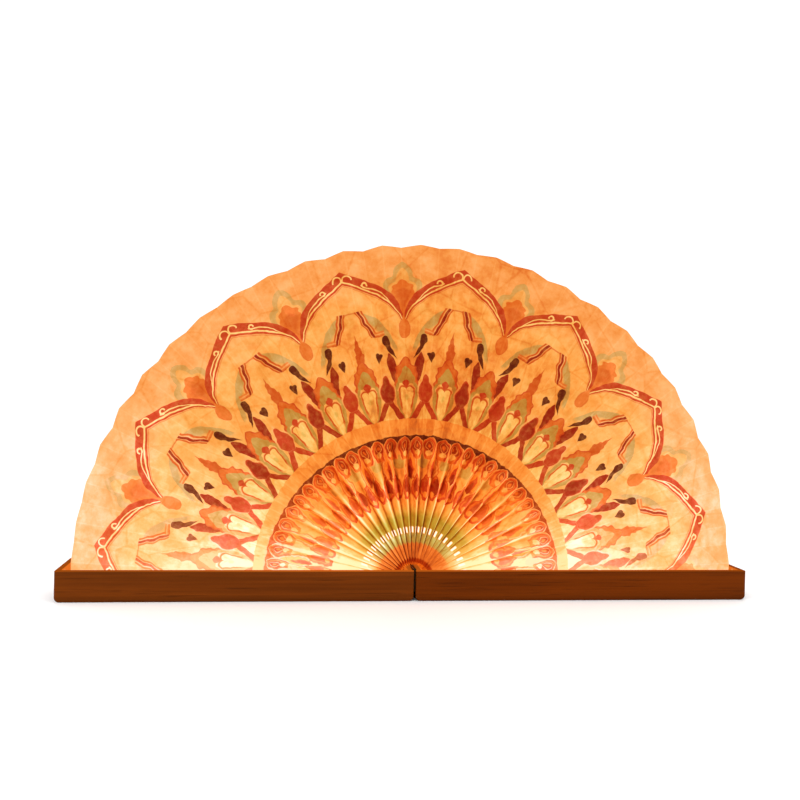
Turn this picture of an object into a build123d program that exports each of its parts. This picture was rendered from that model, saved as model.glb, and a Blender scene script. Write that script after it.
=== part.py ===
from build123d import *
from math import cos, pi, sin
import os

# A folding fan lamp. Two long wooden trays are hinged end to end and lie open in one line. A
# pleated paper shade stands up between them as a half disc, and lights in both trays shine
# into it. Folding the right tray over onto the left one shuts the shade between them.
# Millimetres. +X runs along the trays, +Y is the back, +Z is up, and the origin is on the
# ground under the middle of the gap between the trays.

# Trays
TRAY_LENGTH = 300.0
TRAY_DEPTH = 60.0
TRAY_HEIGHT = 26.0
TRAY_GAP = 2.0
WALL = 5.0
FLOOR = 5.0
BOTTOM_ROUND = 4.0
EDGE_ROUND = 0.8
LEDGE_HEIGHT = 12.0
SIDE_LEDGE = 3.0
END_LEDGE = 6.0

NEAR_END = TRAY_GAP / 2
FAR_END = NEAR_END + TRAY_LENGTH
WELL_NEAR = NEAR_END + WALL
WELL_FAR = FAR_END - WALL
WELL_HALF_DEPTH = TRAY_DEPTH / 2 - WALL
BAY_NEAR = WELL_NEAR + END_LEDGE
BAY_FAR = WELL_FAR - END_LEDGE
BAY_HALF_DEPTH = WELL_HALF_DEPTH - SIDE_LEDGE

# Cover plate over the electronics, and the card that the shade's end fold is glued to
PLATE_GAP = 0.3
PLATE_THICKNESS = 1.2
CARD_THICKNESS = 0.5
CARD_TOP = LEDGE_HEIGHT + PLATE_THICKNESS + CARD_THICKNESS

# Light strip in each tray
LENS_NEAR = 40.0
LENS_FAR = 240.0
LENS_WIDTH = 7.6
LENS_SLOT_GAP = 0.2
LENS_FLANGE = 3.0
LENS_FLANGE_THICKNESS = 0.6
LENS_SET_BACK = 0.1
LED_COUNT = 24
LED_SIZE = (3.5, 2.8, 0.7)
BOARD_THICKNESS = 1.2
LED_BOARD_WIDTH = 10.0
LED_BOARD_BASE = 9.2
RIB_WIDTH = 12.0

# Shade
PLEATS = 27
SHADE_RADIUS = 291.0
HUB_RADIUS = 14.0
SHADE_CENTRE = TRAY_HEIGHT - 8.0
FOLD_BASE = 14.0
ROSETTE_RADIUS = 121.0
ROSETTE_STEP = 6.0
ROSETTE_HALF_DEPTH = 24.0
OUTER_HALF_DEPTH = 20.0
LEAF_THICKNESS = 0.4

# Hinges: one at the front and one at the back, on the facing ends of the trays
HINGE_INNER = 10.0
HINGE_OUTER = 26.0
HINGE_LEAF_THICKNESS = 0.8
HINGE_LEAF_BOTTOM = 8.0
AXIS_HEIGHT = TRAY_HEIGHT + 0.15
KNUCKLE_RADIUS = 1.6
KNUCKLE_RELIEF = 0.4
KNUCKLE_END_RELIEF = 0.5
KNUCKLE_GAP = 0.2
PIN_RADIUS = 0.7
RUNNING_CLEARANCE = 0.05
SCREW_RADIUS = 0.8
SCREW_HEAD_RADIUS = 1.5
SCREW_HEAD_HEIGHT = 0.7
SCREW_LENGTH = 4.5
HINGE_SCREW_HEIGHTS = (11.0, 18.0)

# Ribbon that carries power across the hinge
FLEX_WIDTH = 8.0
FLEX_THICKNESS = 0.2
FLEX_HEIGHT = 24.3
FLEX_SLOT = 1.0
FLEX_SLOT_WIDTH = FLEX_WIDTH + 1.0
FLEX_TAIL = 3.0

# Electronics in the left tray, magnets in both
BATTERY = (42.0, 40.0, 6.0)
BATTERY_GAP = 2.0
BATTERY_ROUND = 1.5
CHARGE_BOARD = (18.0, 34.0, 1.2)
CHARGE_BOARD_X = 25.0
CHARGE_BOARD_BASE = 7.0
CHARGE_BOARD_GAP = 0.3
CHARGE_BOARD_FOOT = 3.0
CHARGE_CHIPS = ((-3.0, 6.0, 5.0), (4.0, 10.0, 3.0), (4.0, 3.0, 3.0))
CHARGE_CHIP_HEIGHT = 1.0
PORT_SIZE = (8.9, 3.2)
PORT_TONGUE = (6.6, 0.7)
PORT_WALL = 0.3
PORT_BACK = 1.0
PORT_SLOT_GAP = 0.15
PORT_INNER_END = 22.5
PORT_OUTER_END = TRAY_DEPTH / 2 - 0.2
REED = (2.6, 12.0, 2.6)
REED_POCKET_GAP = 0.2
SENSOR_HEIGHT = 8.5
SENSOR_Y = 12.0
SENSOR_NEAR = 4.0
SENSOR_MAGNET_RADIUS = 2.5
SENSOR_MAGNET_LENGTH = 4.0
LATCH_RADIUS = 1.5
LATCH_LENGTH = 3.0
LATCH_Y = 14.0
LATCH_BELOW_RIM = 2.6
COVER_SCREW_INSET = 3.0
COVER_SCREW_Y = 21.0
CUT_OVERRUN = 1.0

# Wires: onto the light boards, and from the cell to the circuit board
WIRE_RADIUS = 0.6
LIGHT_LEAD_YS = (-2.5, 2.5)
LIGHT_LEAD_RUN = 8.0
LIGHT_LEAD_FALL = 2.0
LIGHT_LEAD_BEND = 1.5
CELL_LEAD_YS = (-15.0, -13.0)
CELL_LEAD_SHIFT = 6.0
CELL_LEAD_CLIMB = (-90.0, -54.0)
CELL_LEAD_BEND = 40.0

BOTTOM = (Align.CENTER, Align.CENTER, Align.MIN)


def span_box(side, near, far, width, base, top, y=0.0):
    """A box from near to far along one tray, for side -1 (left) or 1 (right)."""
    middle = side * (near + far) / 2
    return Pos(middle, y, base) * Box(far - near, width, top - base, align=BOTTOM)


def rod(radius, start, direction, length):
    """A round bar from start along direction."""
    plane = Plane(origin=start, z_dir=direction)
    return extrude(plane * Circle(radius), amount=length)


def well_plate(side, base, top):
    """A flat plate in the tray's well, open for the light strip and the ribbon."""
    near = WELL_NEAR + PLATE_GAP
    far = WELL_FAR - PLATE_GAP
    plate = span_box(side, near, far, 2 * (WELL_HALF_DEPTH - PLATE_GAP), base, top)
    slot_near = LENS_NEAR - LENS_SLOT_GAP
    slot_far = LENS_FAR + LENS_SLOT_GAP
    plate -= span_box(side, slot_near, slot_far, LENS_WIDTH + 2 * LENS_SLOT_GAP, base, top)
    return plate - span_box(side, near, near + FLEX_SLOT, FLEX_SLOT_WIDTH, base, top)


def countersunk_screw(point, direction, length):
    """A small screw whose flat head is flush at point, driven along direction."""
    plane = Plane(origin=point, z_dir=direction)
    head = plane * Cone(SCREW_HEAD_RADIUS, SCREW_RADIUS, SCREW_HEAD_HEIGHT, align=BOTTOM)
    shank = rod(SCREW_RADIUS, point, direction, length)
    return head + shank


def cover_screws(side):
    """Four screws that hold the cover plate down on the end ledges."""
    top = LEDGE_HEIGHT + PLATE_THICKNESS
    ends = (WELL_NEAR + COVER_SCREW_INSET, WELL_FAR - COVER_SCREW_INSET)
    places = [(side * x, y, top) for x in ends for y in (-COVER_SCREW_Y, COVER_SCREW_Y)]
    return [countersunk_screw(place, (0, 0, -1), SCREW_LENGTH) for place in places]


def hinge_centres():
    """The middles of the front and rear hinge along Y."""
    middle = (HINGE_INNER + HINGE_OUTER) / 2
    return (-middle, middle)


def hinge_screws(side):
    """Two screws in each hinge leaf, driven into the tray's end wall."""
    face = side * (NEAR_END - HINGE_LEAF_THICKNESS)
    places = [(y, z) for y in hinge_centres() for z in HINGE_SCREW_HEIGHTS]
    return [countersunk_screw((face, y, z), (side, 0, 0), SCREW_LENGTH) for y, z in places]


def knuckle_spans(side, centre):
    """Where one leaf's knuckles run along Y: two on the left leaf and one on the right."""
    length = HINGE_OUTER - HINGE_INNER
    third = length / 3
    low = centre - length / 2
    if side < 0:
        return [(low, low + third - KNUCKLE_GAP), (low + 2 * third + KNUCKLE_GAP, low + length)]
    return [(low + third, low + 2 * third)]


def hinge_leaf(side, centre):
    """One brass leaf on a tray's end face, with its knuckles round the pin."""
    length = HINGE_OUTER - HINGE_INNER
    near = NEAR_END - HINGE_LEAF_THICKNESS
    bore = PIN_RADIUS if side < 0 else PIN_RADIUS + RUNNING_CLEARANCE
    leaf = span_box(side, near, NEAR_END, length, HINGE_LEAF_BOTTOM, TRAY_HEIGHT, centre)
    axle = (0, centre - length / 2, AXIS_HEIGHT)
    leaf -= rod(KNUCKLE_RADIUS + KNUCKLE_GAP, axle, (0, 1, 0), length)
    web_top = AXIS_HEIGHT - PIN_RADIUS - RUNNING_CLEARANCE
    web_base = AXIS_HEIGHT - KNUCKLE_RADIUS - 2 * KNUCKLE_GAP
    for start, end in knuckle_spans(side, centre):
        leaf += rod(KNUCKLE_RADIUS, (0, start, AXIS_HEIGHT), (0, 1, 0), end - start)
        leaf += span_box(side, near, NEAR_END, end - start, web_base, web_top, (start + end) / 2)
    leaf -= rod(bore, axle, (0, 1, 0), length)
    for screw in hinge_screws(side):
        leaf -= screw
    return leaf


def hinge_pins():
    """One pin for each hinge, fixed in the left leaf and running in the right one."""
    length = HINGE_OUTER - HINGE_INNER
    starts = [(0, centre - length / 2, AXIS_HEIGHT) for centre in hinge_centres()]
    return [rod(PIN_RADIUS, start, (0, 1, 0), length) for start in starts]


def latch_magnets(side):
    """Two disc magnets let into the far end wall from inside, which hold the lamp shut."""
    places = [(side * WELL_FAR, y, TRAY_HEIGHT - LATCH_BELOW_RIM) for y in (-LATCH_Y, LATCH_Y)]
    return [rod(LATCH_RADIUS, place, (side, 0, 0), LATCH_LENGTH) for place in places]


def port_bar(grow, start, end):
    """A bar with the charging port's rounded outline, from start to end along Y."""
    width, height = PORT_SIZE
    z = CHARGE_BOARD_BASE + BOARD_THICKNESS + height / 2
    plane = Plane(origin=(-CHARGE_BOARD_X, start, z), x_dir=(1, 0, 0), z_dir=(0, 1, 0))
    outline = plane * SlotOverall(width + 2 * grow, height + 2 * grow)
    return extrude(outline, amount=end - start)


def usb_port():
    """The charging socket: a metal shell closed at its inner end, with a tongue inside."""
    z = CHARGE_BOARD_BASE + BOARD_THICKNESS + PORT_SIZE[1] / 2
    width, height = PORT_TONGUE
    shell = port_bar(0, PORT_INNER_END, PORT_OUTER_END)
    shell -= port_bar(-PORT_WALL, PORT_INNER_END + PORT_BACK, PORT_OUTER_END)
    tongue_length = PORT_OUTER_END - PORT_INNER_END - PORT_BACK
    tongue = Pos(-CHARGE_BOARD_X, PORT_INNER_END + tongue_length / 2, z) * Box(width, tongue_length, height)
    return shell + tongue


def tray(side):
    """An open-topped wooden tray with a ledge all round for its cover plate."""
    body = span_box(side, NEAR_END, FAR_END, TRAY_DEPTH, 0, TRAY_HEIGHT)
    ends = body.edges().filter_by(Axis.Y).group_by(Axis.Z)[0]
    body = fillet(ends, BOTTOM_ROUND)
    uprights = body.edges().filter_by(Axis.Z)
    body = fillet(uprights, EDGE_ROUND)
    well_depth = 2 * WELL_HALF_DEPTH
    body -= span_box(side, WELL_NEAR, WELL_FAR, well_depth, LEDGE_HEIGHT, TRAY_HEIGHT)
    body -= span_box(side, BAY_NEAR, BAY_FAR, 2 * BAY_HALF_DEPTH, FLOOR, LEDGE_HEIGHT)
    rib_far = LENS_FAR + LENS_FLANGE
    body += span_box(side, LENS_NEAR - LENS_FLANGE, rib_far, RIB_WIDTH, FLOOR, LED_BOARD_BASE)
    for centre in hinge_centres():
        length = HINGE_OUTER - HINGE_INNER + 2 * KNUCKLE_END_RELIEF
        start = (0, centre - length / 2, AXIS_HEIGHT)
        body -= rod(KNUCKLE_RADIUS + KNUCKLE_RELIEF, start, (0, 1, 0), length)
    for insert in hinge_screws(side) + cover_screws(side) + latch_magnets(side):
        body -= insert
    body -= flex_channel(side)
    body -= sensor_pocket(side)
    if side < 0:
        outside = TRAY_DEPTH / 2 + CUT_OVERRUN
        body -= port_bar(PORT_SLOT_GAP, BAY_HALF_DEPTH - CUT_OVERRUN, outside)
    return body


def flex_channel(side):
    """The ribbon's slot through the end wall, and its way down to the bay."""
    width = FLEX_SLOT_WIDTH
    low = FLEX_HEIGHT - FLEX_SLOT / 2
    through = span_box(side, 0, WELL_NEAR, width, low, low + FLEX_SLOT)
    down = span_box(side, WELL_NEAR, WELL_NEAR + FLEX_SLOT, width, FLOOR, LEDGE_HEIGHT)
    across = span_box(side, WELL_NEAR, BAY_NEAR, width, FLOOR, FLOOR + FLEX_SLOT)
    return through + down + across


def sensor_pocket(side):
    """The reed switch's slot in the left tray, or the magnet's hole in the right one."""
    if side < 0:
        return reed_block(REED_POCKET_GAP, BAY_NEAR)
    start = (SENSOR_NEAR, SENSOR_Y, SENSOR_HEIGHT)
    return rod(SENSOR_MAGNET_RADIUS, start, (1, 0, 0), BAY_NEAR - SENSOR_NEAR)


def reed_block(grow, far):
    """The reed switch's outline in the end wall, grown all round, as far as far."""
    length, half_height = REED[1] + 2 * grow, REED[2] / 2 + grow
    low, high = SENSOR_HEIGHT - half_height, SENSOR_HEIGHT + half_height
    return span_box(-1, SENSOR_NEAR, far, length, low, high, SENSOR_Y)


def reed_switch():
    """The switch that lights the lamp when the magnet in the other tray comes near it."""
    return reed_block(0, SENSOR_NEAR + REED[0])


def sensor_magnet():
    """The magnet in the right tray's end wall that works the reed switch."""
    start = (SENSOR_NEAR, SENSOR_Y, SENSOR_HEIGHT)
    return rod(SENSOR_MAGNET_RADIUS, start, (1, 0, 0), SENSOR_MAGNET_LENGTH)


def cover_plate(side):
    """The plate that rests on the ledge and shuts the electronics in."""
    plate = well_plate(side, LEDGE_HEIGHT, LEDGE_HEIGHT + PLATE_THICKNESS)
    for screw in cover_screws(side):
        plate -= screw
    return plate


def base_card(side):
    """The card on the cover plate that the shade's end fold is glued to."""
    return well_plate(side, LEDGE_HEIGHT + PLATE_THICKNESS, CARD_TOP)


def light_lens(side):
    """A frosted bar in the slot, held from below by its wider flange."""
    base = LEDGE_HEIGHT - LENS_FLANGE_THICKNESS
    flange_width = LENS_WIDTH + LENS_FLANGE
    near = LENS_NEAR - LENS_FLANGE
    flange = span_box(side, near, LENS_FAR + LENS_FLANGE, flange_width, base, LEDGE_HEIGHT)
    bar = span_box(side, LENS_NEAR, LENS_FAR, LENS_WIDTH, LEDGE_HEIGHT, CARD_TOP - LENS_SET_BACK)
    return flange + bar


def led_board(side):
    """The long board under the lens bar, on the tray's rib."""
    top = LED_BOARD_BASE + BOARD_THICKNESS
    return span_box(side, LENS_NEAR, LENS_FAR, LED_BOARD_WIDTH, LED_BOARD_BASE, top)


def led_chips(side):
    """A row of light-emitting chips, evenly spaced along the board."""
    pitch = (LENS_FAR - LENS_NEAR) / LED_COUNT
    z = LED_BOARD_BASE + BOARD_THICKNESS
    length, width, height = LED_SIZE
    middles = [side * (LENS_NEAR + (i + 0.5) * pitch) for i in range(LED_COUNT)]
    return [Pos(x, 0, z) * Box(length, width, height, align=BOTTOM) for x in middles]


def battery():
    """A flat rechargeable cell at the left tray's far end."""
    length, width, height = BATTERY
    middle = -(BAY_FAR - BATTERY_GAP - length / 2)
    cell = Pos(middle, 0, FLOOR) * Box(length, width, height, align=BOTTOM)
    return fillet(cell.edges().filter_by(Axis.Y), BATTERY_ROUND)


def charge_board():
    """The circuit board, on two blocks, with its chips on top."""
    length, width, thickness = CHARGE_BOARD
    x = -CHARGE_BOARD_X
    y = BAY_HALF_DEPTH - CHARGE_BOARD_GAP - width / 2
    board = Pos(x, y, CHARGE_BOARD_BASE) * Box(length, width, thickness, align=BOTTOM)
    foot_height = CHARGE_BOARD_BASE - FLOOR
    for foot_y in (y - width / 3, y + width / 3):
        foot = Box(length / 2, CHARGE_BOARD_FOOT, foot_height, align=BOTTOM)
        board += Pos(x, foot_y, FLOOR) * foot
    top = CHARGE_BOARD_BASE + thickness
    for chip_x, chip_y, size in CHARGE_CHIPS:
        chip = Box(size, size, CHARGE_CHIP_HEIGHT, align=BOTTOM)
        board += Pos(x + chip_x, y + chip_y, top) * chip
    return board


def bent_wire(points, bend):
    """A round wire along straight runs with tangent arcs."""
    path = FilletPolyline(*points, radius=bend)
    start = Vector(*points[0])
    along = Vector(*points[1]) - start
    return sweep(Plane(origin=start, z_dir=along) * Circle(WIRE_RADIUS), path=path)


def lead_to_lights(side, y):
    """A short wire onto the light board's near end, with its other end bent down."""
    high = LED_BOARD_BASE + BOARD_THICKNESS / 2
    low = CHARGE_BOARD_BASE + BOARD_THICKNESS + WIRE_RADIUS
    bend_x = LENS_NEAR - LIGHT_LEAD_RUN
    ends = ((LENS_NEAR, high), (bend_x, high), (bend_x - LIGHT_LEAD_FALL, low))
    return bent_wire([(side * x, y, z) for x, z in ends], LIGHT_LEAD_BEND)


def left_leads():
    """Two wires from the battery to the circuit board, and two from there to the light board."""
    cell_end = -(BAY_FAR - BATTERY_GAP - BATTERY[0])
    board_end = -(CHARGE_BOARD_X + CHARGE_BOARD[0] / 2)
    low = FLOOR + WIRE_RADIUS
    high = CHARGE_BOARD_BASE + BOARD_THICKNESS / 2
    climb_start, climb_end = CELL_LEAD_CLIMB
    wires = [lead_to_lights(-1, y) for y in LIGHT_LEAD_YS]
    for y in CELL_LEAD_YS:
        turned = y + CELL_LEAD_SHIFT
        along_cell = [(cell_end, y, low), (climb_start, y, low)]
        onto_board = [(climb_end, turned, high), (board_end, turned, high)]
        wires.append(bent_wire(along_cell + onto_board, CELL_LEAD_BEND))
    return wires


def right_leads():
    """Two wires onto the right tray's light board."""
    return [lead_to_lights(1, y) for y in LIGHT_LEAD_YS]


def hinge_flex():
    """The thin ribbon over the gap, through both end walls and down into both bays."""
    drop = WELL_NEAR + FLEX_SLOT / 2
    low = FLOOR + FLEX_SLOT / 2
    tail = BAY_NEAR + FLEX_TAIL
    half = [(drop, FLEX_HEIGHT), (drop, low), (tail, low)]
    line = [(-x, z) for x, z in reversed(half)] + half
    section = trace(Polyline(*line), line_width=FLEX_THICKNESS)
    return Plane.XZ * extrude(section, amount=FLEX_WIDTH / 2, both=True)


def leaf_outline():
    """A folded pleat's outline: deep in the rosette round the hub, and less deep outside it."""
    inner = ROSETTE_RADIUS - ROSETTE_STEP / 2
    outer = ROSETTE_RADIUS + ROSETTE_STEP / 2
    half = [
        (HUB_RADIUS, ROSETTE_HALF_DEPTH),
        (inner, ROSETTE_HALF_DEPTH),
        (outer, OUTER_HALF_DEPTH),
        (SHADE_RADIUS, OUTER_HALF_DEPTH),
    ]
    mirrored = [(r, -depth) for r, depth in reversed(half)]
    return make_face(Polyline(*half, *mirrored, close=True))


def pleat(number):
    """One folded pleat, as the thin leaf it becomes when the lamp is shut."""
    share = (number - 0.5) / PLEATS
    angle = share * pi
    outward = Vector(-cos(angle), 0, sin(angle))
    facing = Vector(sin(angle), 0, cos(angle))
    lift = (FOLD_BASE - SHADE_CENTRE) * (1 - 2 * share)
    origin = Vector(0, 0, SHADE_CENTRE) + facing * (lift - LEAF_THICKNESS / 2)
    plane = Plane(origin=origin, x_dir=outward, z_dir=facing)
    return extrude(plane * leaf_outline(), amount=LEAF_THICKNESS)


def parts():
    """Every node by name."""
    made = {"hinge_pins": hinge_pins(), "hinge_flex": hinge_flex()}
    for name, side in (("left", -1), ("right", 1)):
        made[name + "_tray"] = tray(side)
        made[name + "_cover_plate"] = cover_plate(side)
        made[name + "_base_card"] = base_card(side)
        made[name + "_lens"] = light_lens(side)
        made[name + "_led_board"] = led_board(side)
        made[name + "_led_chips"] = led_chips(side)
        made[name + "_cover_screws"] = cover_screws(side)
        made[name + "_hinge_screws"] = hinge_screws(side)
        made[name + "_latch_magnets"] = latch_magnets(side)
        for place, centre in zip(("front", "rear"), hinge_centres()):
            made[place + "_hinge_" + name + "_leaf"] = hinge_leaf(side, centre)
    made["battery"] = battery()
    made["charge_board"] = charge_board()
    made["usb_port"] = usb_port()
    made["reed_switch"] = reed_switch()
    made["sensor_magnet"] = sensor_magnet()
    made["left_leads"] = left_leads()
    made["right_leads"] = right_leads()
    for number in range(1, PLEATS + 1):
        made[f"pleat_{number:02d}"] = pleat(number)
    return made


os.makedirs("parts", exist_ok=True)
for node, shape in parts().items():
    pieces = shape if isinstance(shape, list) else [shape]
    export_step(Compound([solid for piece in pieces for solid in piece.solids()]), f"parts/{node}.step")
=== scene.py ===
import math

import bpy
from mathutils import Matrix, Vector


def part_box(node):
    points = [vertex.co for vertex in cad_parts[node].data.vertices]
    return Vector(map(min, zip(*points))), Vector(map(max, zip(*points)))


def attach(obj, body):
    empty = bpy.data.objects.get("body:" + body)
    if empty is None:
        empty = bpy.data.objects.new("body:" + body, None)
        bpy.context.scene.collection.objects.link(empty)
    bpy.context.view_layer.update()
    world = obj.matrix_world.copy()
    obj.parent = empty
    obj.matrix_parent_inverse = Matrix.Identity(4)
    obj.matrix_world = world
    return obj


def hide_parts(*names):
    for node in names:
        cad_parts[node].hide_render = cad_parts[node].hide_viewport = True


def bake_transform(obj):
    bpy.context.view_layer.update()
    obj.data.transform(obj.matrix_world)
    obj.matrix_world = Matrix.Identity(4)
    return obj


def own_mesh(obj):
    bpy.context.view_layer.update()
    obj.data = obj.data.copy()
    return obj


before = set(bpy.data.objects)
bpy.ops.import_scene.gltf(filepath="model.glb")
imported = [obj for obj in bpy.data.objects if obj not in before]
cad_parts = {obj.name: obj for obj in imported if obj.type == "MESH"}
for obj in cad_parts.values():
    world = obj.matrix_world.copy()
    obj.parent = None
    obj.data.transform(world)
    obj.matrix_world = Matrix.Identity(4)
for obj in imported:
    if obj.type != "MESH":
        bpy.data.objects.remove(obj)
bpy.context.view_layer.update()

# A folding fan lamp: a lit, printed, pleated paper shade between two hinged wooden trays.
# Metres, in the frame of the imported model.

MM = 0.001
PLEATS = 27
SIDES = ("left", "right")
PLEAT_NAMES = [f"pleat_{k:02d}" for k in range(1, PLEATS + 1)]

crown_low, crown_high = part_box(PLEAT_NAMES[PLEATS // 2])
RIM_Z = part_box("left_tray")[1].z
CENTRE_Z = RIM_Z - 8 * MM
FOLD_BASE_Z = 14 * MM
RADIUS = crown_high.z - CENTRE_Z
HUB = crown_low.z - CENTRE_Z
ROSETTE_DEPTH = crown_high.y

# The shade's cross-section, from the hub outwards: crests (mountain folds) and troughs (valley folds)
STEP_INNER = 118 * MM
STEP_OUTER = 123 * MM
ROSETTE_EDGE = 131 * MM
TROUGH_INSET = 2.6 * MM
CREST_UNEVEN = 0.7 * MM
CREST_DEPTHS = (ROSETTE_DEPTH - 0.3 * MM, 19.8 * MM, 18.8 * MM)
TROUGH_DEPTHS = (12 * MM, 18.0 * MM, 16.6 * MM)
PAPER_THICKNESS = 0.25 * MM
HUB_MOUTH = 10.8 * MM
HUB_DEPTH = 17 * MM

# Faces across one pleat, and the zones of its print
COLUMNS = 8
ZONES = ("outer", "rosette", "rim")

# The print, in degrees round the fan and millimetres from its centre
PRINT_REACH = 300.0
LOBE_PERIOD = 22.93
LOBE_START = 6.4
LOBE_TIP = 273.8
LOBE_INSIDE = 263.5
LOBE_FOOT = 226.0
PLAIN_RING_EDGE = 139.5
ROSETTE_PRINT_EDGE = 124.9
PETAL_PERIOD = 5.34
PETAL_START = 4.86
SLOT_RADIUS = 42.2
SLOT_HALF_HEIGHT = 2.6
# Shares of the radius by which the rosette's and the hub's bands sit lower at the crown
ROSETTE_DROP = 0.046
HUB_DROP = 0.075
# How far the hand-drawn lines stray, on flat paper and in the folds
HAND_WAVER = 3.2
FOLD_WAVER = 4.6
# Makes uneven numbers out of the panels' even ones
UNEVEN_STEP = 12.9898

# The inside of a tray and its rim, where the lamp's glow is painted on the wood, in millimetres from the
# middle of the lamp and from the ground
WELL_HALF_DEPTH = 25.4
WELL_NEAR = 5.6
WELL_FAR = 296.4
WELL_FLOOR = 8.0
RIM_GLOW_DEPTH = 0.45
GLOW_ON_WOOD = (0.62, 0.135, 0.012)

# The ribbon across the hinge
RIBBON_DROP = 6.5 * MM
RIBBON_THICKNESS = 0.2 * MM

# The camera: place in metres, angles in degrees, lens and sensor in millimetres
CAMERA_PLACE = (-0.1141, -0.8338, 0.1836)
CAMERA_YAW = 6.91
CAMERA_PITCH = -0.72
CAMERA_ROLL = 1.32
CAMERA_LENS = 42.39
CAMERA_SENSOR = 36.0


# ---------------------------------------------------------------- node helpers

class Field:
    """A number that varies over a surface: a node socket that takes arithmetic."""

    def __init__(self, tree, socket):
        self.tree = tree
        self.socket = socket

    def math(self, operation, *others, clamp=False):
        node = self.tree.nodes.new("ShaderNodeMath")
        node.operation = operation
        node.use_clamp = clamp
        for slot, value in zip(node.inputs, (self, *others)):
            connect(self.tree, value, slot)
        return Field(self.tree, node.outputs[0])

    def __add__(self, other):
        return self.math("ADD", other)

    def __sub__(self, other):
        return self.math("SUBTRACT", other)

    def __mul__(self, other):
        return self.math("MULTIPLY", other)

    def __truediv__(self, other):
        return self.math("DIVIDE", other)

    def __pow__(self, other):
        return self.math("POWER", other)

    def __neg__(self):
        return self.math("MULTIPLY", -1.0)

    def __abs__(self):
        return self.math("ABSOLUTE")

    def __rsub__(self, number):
        return self.math("MULTIPLY_ADD", -1.0, number)

    __radd__ = __add__
    __rmul__ = __mul__

    def above(self, soft=0.5):
        """1 where the field is positive and 0 where it is negative, with an edge of soft width."""
        return self.math("MULTIPLY_ADD", 1.0 / soft, 0.5, clamp=True)

    def bell(self, width):
        """1 where the field is 0, falling away on both sides."""
        return (-((self / width) ** 2.0)).math("EXPONENT")

    def ramp(self, low, high):
        """0 at low, 1 at high, smooth between."""
        node = self.tree.nodes.new("ShaderNodeMapRange")
        node.interpolation_type = "SMOOTHSTEP"
        connect(self.tree, self, node.inputs["Value"])
        node.inputs["From Min"].default_value = low
        node.inputs["From Max"].default_value = high
        return Field(self.tree, node.outputs[0])

    def profile(self, low, high, points):
        """A curve of the field's way from low to high, through listed points: (share, height)."""
        node = self.tree.nodes.new("ShaderNodeFloatCurve")
        curve = node.mapping.curves[0]
        curve.points[0].location = points[0]
        curve.points[1].location = points[-1]
        for point in points[1:-1]:
            curve.points.new(*point)
        node.mapping.update()
        share = self.math("MULTIPLY_ADD", 1.0 / (high - low), -low / (high - low), clamp=True)
        connect(self.tree, share, node.inputs["Value"])
        return Field(self.tree, node.outputs[0])


def connect(tree, value, slot):
    """Puts a field, a socket or a constant into an input."""
    if isinstance(value, Field):
        tree.links.new(value.socket, slot)
    elif isinstance(value, bpy.types.NodeSocket):
        tree.links.new(value, slot)
    else:
        slot.default_value = value


def wrap(field, start, period):
    """Signed distance from the nearest of start, start + period, start + 2 period and so on."""
    turned = field.math("ADD", period / 2 - start)
    return turned.math("FLOORED_MODULO", period) - period / 2


def wrap_distance(field, start, period):
    return abs(wrap(field, start, period))


def rgba(colour):
    return (*colour[:3], 1.0)


def mix_colour(tree, first, second, share, blend="MIX"):
    node = tree.nodes.new("ShaderNodeMix")
    node.data_type = "RGBA"
    node.blend_type = blend
    connect(tree, share, node.inputs[0])
    connect(tree, rgba(first) if isinstance(first, tuple) else first, node.inputs[6])
    connect(tree, rgba(second) if isinstance(second, tuple) else second, node.inputs[7])
    return node.outputs[2]


def colour_ramp(tree, share, stops):
    node = tree.nodes.new("ShaderNodeValToRGB")
    elements = node.color_ramp.elements
    while len(elements) < len(stops):
        elements.new(0.5)
    for element, (place, colour) in zip(elements, stops):
        element.position = place
        element.color = rgba(colour)
    connect(tree, share, node.inputs[0])
    return node.outputs[0]


def noise(tree, vector, scale, detail=2.0, roughness=0.5, stretch=(1, 1, 1)):
    mapping = tree.nodes.new("ShaderNodeMapping")
    mapping.inputs["Scale"].default_value = stretch
    connect(tree, vector, mapping.inputs["Vector"])
    node = tree.nodes.new("ShaderNodeTexNoise")
    node.inputs["Scale"].default_value = scale
    node.inputs["Detail"].default_value = detail
    node.inputs["Roughness"].default_value = roughness
    connect(tree, mapping.outputs[0], node.inputs["Vector"])
    return Field(tree, node.outputs["Fac"])


def new_material(name, roughness=0.5, metallic=0.0):
    """A material with one Principled shader; returns it, its tree and the shader."""
    material = bpy.data.materials.new(name)
    material.use_nodes = True
    tree = material.node_tree
    shader = tree.nodes["Principled BSDF"]
    shader.inputs["Roughness"].default_value = roughness
    shader.inputs["Metallic"].default_value = metallic
    return material, tree, shader


def object_vector(tree):
    return tree.nodes.new("ShaderNodeTexCoord").outputs["Object"]


def set_glow(tree, shader, colour, strength):
    connect(tree, colour, shader.inputs["Emission Color"])
    shader.inputs["Emission Strength"].default_value = strength


def add_bump(tree, shader, height, strength, distance):
    node = tree.nodes.new("ShaderNodeBump")
    node.inputs["Strength"].default_value = strength
    node.inputs["Distance"].default_value = distance
    connect(tree, height, node.inputs["Height"])
    connect(tree, node.outputs[0], shader.inputs["Normal"])


# ---------------------------------------------------------------- the printed paper

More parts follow.
